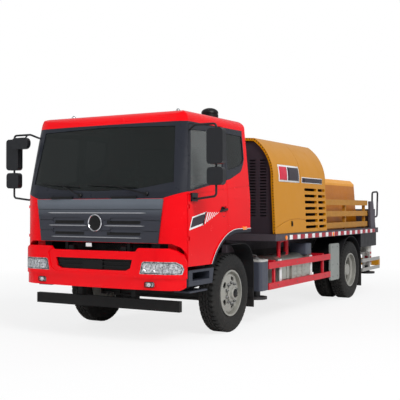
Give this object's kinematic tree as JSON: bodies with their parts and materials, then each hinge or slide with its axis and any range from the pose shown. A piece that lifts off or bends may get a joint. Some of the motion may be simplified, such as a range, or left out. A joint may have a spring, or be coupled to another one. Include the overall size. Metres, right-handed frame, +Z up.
{
  "type": "truck-mounted line concrete pump",
  "caption": "Two-axle tilt-cab lorry with an enclosed pump engine, flat deck, concrete hopper at the tail, stabiliser jacks and a delivery outlet.",
  "frame": {"origin": "on the ground, halfway along the truck, on its mid-plane", "axes": "+X forward, +Y to the truck's left, +Z up"},
  "size_m": [8.1, 3.27, 2.9351],
  "materials": {
    "chassis_black": "satin black chassis paint",
    "spring_steel": "black painted spring steel",
    "engine_grey": "dark cast metal",
    "bumper_red": "gloss red",
    "lamp": "clear lamp cover",
    "bar_black": "gloss black",
    "step_grey": "dark blue-grey",
    "guard_plastic": "black moulded plastic",
    "jack_grey": "dark blue-grey paint",
    "tank_silver": "brushed aluminium",
    "locker_black": "satin black",
    "guard_red": "gloss red",
    "deck_paint": "dark paint with red and white edge blocks",
    "rail_yellow": "amber yellow",
    "post_grey": "dark grey",
    "bulkhead_grey": "dark grey",
    "box_yellow": "amber yellow",
    "hopper_grey": "amber yellow, worn inside",
    "outlet_steel": "bare steel",
    "cab_red": "gloss red",
    "cab_glass": "tinted glass",
    "grille_grey": "dark blue-grey",
    "interior": "dark grey moulded plastic",
    "seat_cloth": "dark woven cloth",
    "door_glass": "tinted glass",
    "mirror_black": "black",
    "steering_steel": "forged steel, painted",
    "tyre": "black rubber",
    "rim_silver": "silver paint",
    "hood_yellow": "amber yellow",
    "leg_steel": "dark grey",
    "grate_red": "amber yellow",
    "agitator_steel": "worn steel"
  },
  "bodies": {
    "chassis": {"frame_rails": "chassis_black", "frame_crossmembers": "chassis_black", "cab_mounts": "chassis_black", "leaf_springs": "spring_steel", "front_axle": "chassis_black", "rear_axle": "chassis_black", "drive_train": "engine_grey", "front_bumper": "bumper_red", "head_lamps": "lamp", "underrun_bars": "bar_black", "cab_steps": "step_grey", "mudguards": "guard_plastic", "jack_tubes": "jack_grey", "fuel_tank": "tank_silver", "lockers": "locker_black", "side_guards": "guard_red", "deck": "deck_paint", "deck_rails": "rail_yellow", "rear_posts": "post_grey", "hood_frame": "bulkhead_grey", "pump_engine": "engine_grey", "oil_tank": "box_yellow", "pump_cylinders": "engine_grey", "hopper": "hopper_grey", "hopper_flare": "hopper_grey", "bumper_insert": "bar_black", "outlet_pipe": "outlet_steel"},
    "cab": {"cab_shell": "cab_red", "cab_glass": "cab_glass", "grille_panel": "grille_grey", "cab_interior": "interior", "seats": "seat_cloth", "arch_liners": "guard_plastic", "roof_lamps": "lamp"},
    "door_left": {"door_left": "cab_red", "door_glass_left": "door_glass", "mirror_left": "mirror_black"},
    "door_right": {"door_right": "cab_red", "door_glass_right": "door_glass", "mirror_right": "mirror_black", "front_mirror": "mirror_black"},
    "knuckle_left": {"knuckle_left": "steering_steel"},
    "knuckle_right": {"knuckle_right": "steering_steel"},
    "tie_rod": {"tie_rod": "steering_steel"},
    "wheel_fl": {"tyre_fl": "tyre", "rim_fl": "rim_silver"},
    "wheel_fr": {"tyre_fr": "tyre", "rim_fr": "rim_silver"},
    "wheel_rl": {"tyre_rl": "tyre", "rim_rl": "rim_silver"},
    "wheel_rr": {"tyre_rr": "tyre", "rim_rr": "rim_silver"},
    "hood_wing_left": {"hood_wing_left": "hood_yellow"},
    "hood_wing_right": {"hood_wing_right": "hood_yellow"},
    "jack_fl": {"jack_leg_fl": "leg_steel"},
    "jack_fr": {"jack_leg_fr": "leg_steel"},
    "jack_rl": {"jack_leg_rl": "leg_steel"},
    "jack_rr": {"jack_leg_rr": "leg_steel"},
    "hopper_grate": {"hopper_grate": "grate_red"},
    "agitator": {"agitator": "agitator_steel"}
  },
  "joints": [
    {"name": "cab_tilt", "type": "hinge", "parent": "chassis", "child": "cab", "pos_m": [3.91, 0, 1.12], "axis": [0, 1, 0], "range_deg": [0, 45]},
    {"name": "door_left_swing", "type": "hinge", "parent": "cab", "child": "door_left", "pos_m": [3.786, 1.191, 1.43], "axis": [0, 0, -1], "range_deg": [0, 70]},
    {"name": "door_right_swing", "type": "hinge", "parent": "cab", "child": "door_right", "pos_m": [3.786, -1.191, 1.43], "axis": [0, 0, 1], "range_deg": [0, 70]},
    {"name": "steer_left", "type": "hinge", "parent": "chassis", "child": "knuckle_left", "pos_m": [2.55, 0.87, 0.505], "axis": [0, 0, 1], "range_deg": [-35, 35]},
    {"name": "steer_right", "type": "hinge", "parent": "chassis", "child": "knuckle_right", "pos_m": [2.55, -0.87, 0.505], "axis": [0, 0, 1], "range_deg": [-35, 35]},
    {"name": "tie_rod_pin", "type": "hinge", "parent": "knuckle_left", "child": "tie_rod", "pos_m": [2.35, 0.87, 0.3705], "axis": [0, 0, 1], "range_deg": [-35, 35]},
    {"name": "spin_fl", "type": "hinge", "parent": "knuckle_left", "child": "wheel_fl", "pos_m": [2.55, 1.005, 0.505], "axis": [0, 1, 0], "continuous": true},
    {"name": "spin_fr", "type": "hinge", "parent": "knuckle_right", "child": "wheel_fr", "pos_m": [2.55, -1.005, 0.505], "axis": [0, 1, 0], "continuous": true},
    {"name": "spin_rl", "type": "hinge", "parent": "chassis", "child": "wheel_rl", "pos_m": [-1.95, 0.93, 0.505], "axis": [0, 1, 0], "continuous": true},
    {"name": "spin_rr", "type": "hinge", "parent": "chassis", "child": "wheel_rr", "pos_m": [-1.95, -0.93, 0.505], "axis": [0, 1, 0], "continuous": true},
    {"name": "hood_wing_left_lift", "type": "hinge", "parent": "chassis", "child": "hood_wing_left", "pos_m": [0.34, 0.35, 2.672], "axis": [1, 0, 0], "range_deg": [0, 60]},
    {"name": "hood_wing_right_lift", "type": "hinge", "parent": "chassis", "child": "hood_wing_right", "pos_m": [0.34, -0.35, 2.672], "axis": [-1, 0, 0], "range_deg": [0, 60]},
    {"name": "jack_fl_drop", "type": "slide", "parent": "chassis", "child": "jack_fl", "axis": [0, 0, -1], "range_m": [0, 0.335]},
    {"name": "jack_fr_drop", "type": "slide", "parent": "chassis", "child": "jack_fr", "axis": [0, 0, -1], "range_m": [0, 0.335]},
    {"name": "jack_rl_drop", "type": "slide", "parent": "chassis", "child": "jack_rl", "axis": [0, 0, -1], "range_m": [0, 0.335]},
    {"name": "jack_rr_drop", "type": "slide", "parent": "chassis", "child": "jack_rr", "axis": [0, 0, -1], "range_m": [0, 0.335]},
    {"name": "hopper_grate_lift", "type": "hinge", "parent": "chassis", "child": "hopper_grate", "pos_m": [-3.194, 0, 1.466], "axis": [0, 1, 0], "range_deg": [0, 85]},
    {"name": "agitator_spin", "type": "hinge", "parent": "chassis", "child": "agitator", "pos_m": [-3.61, 0, 0.92], "axis": [0, 1, 0], "continuous": true}
  ],
  "couplings": [
    {"joint": "steer_right", "follows": "steer_left", "ratio": 1},
    {"joint": "tie_rod_pin", "follows": "steer_left", "ratio": -1}
  ]
}
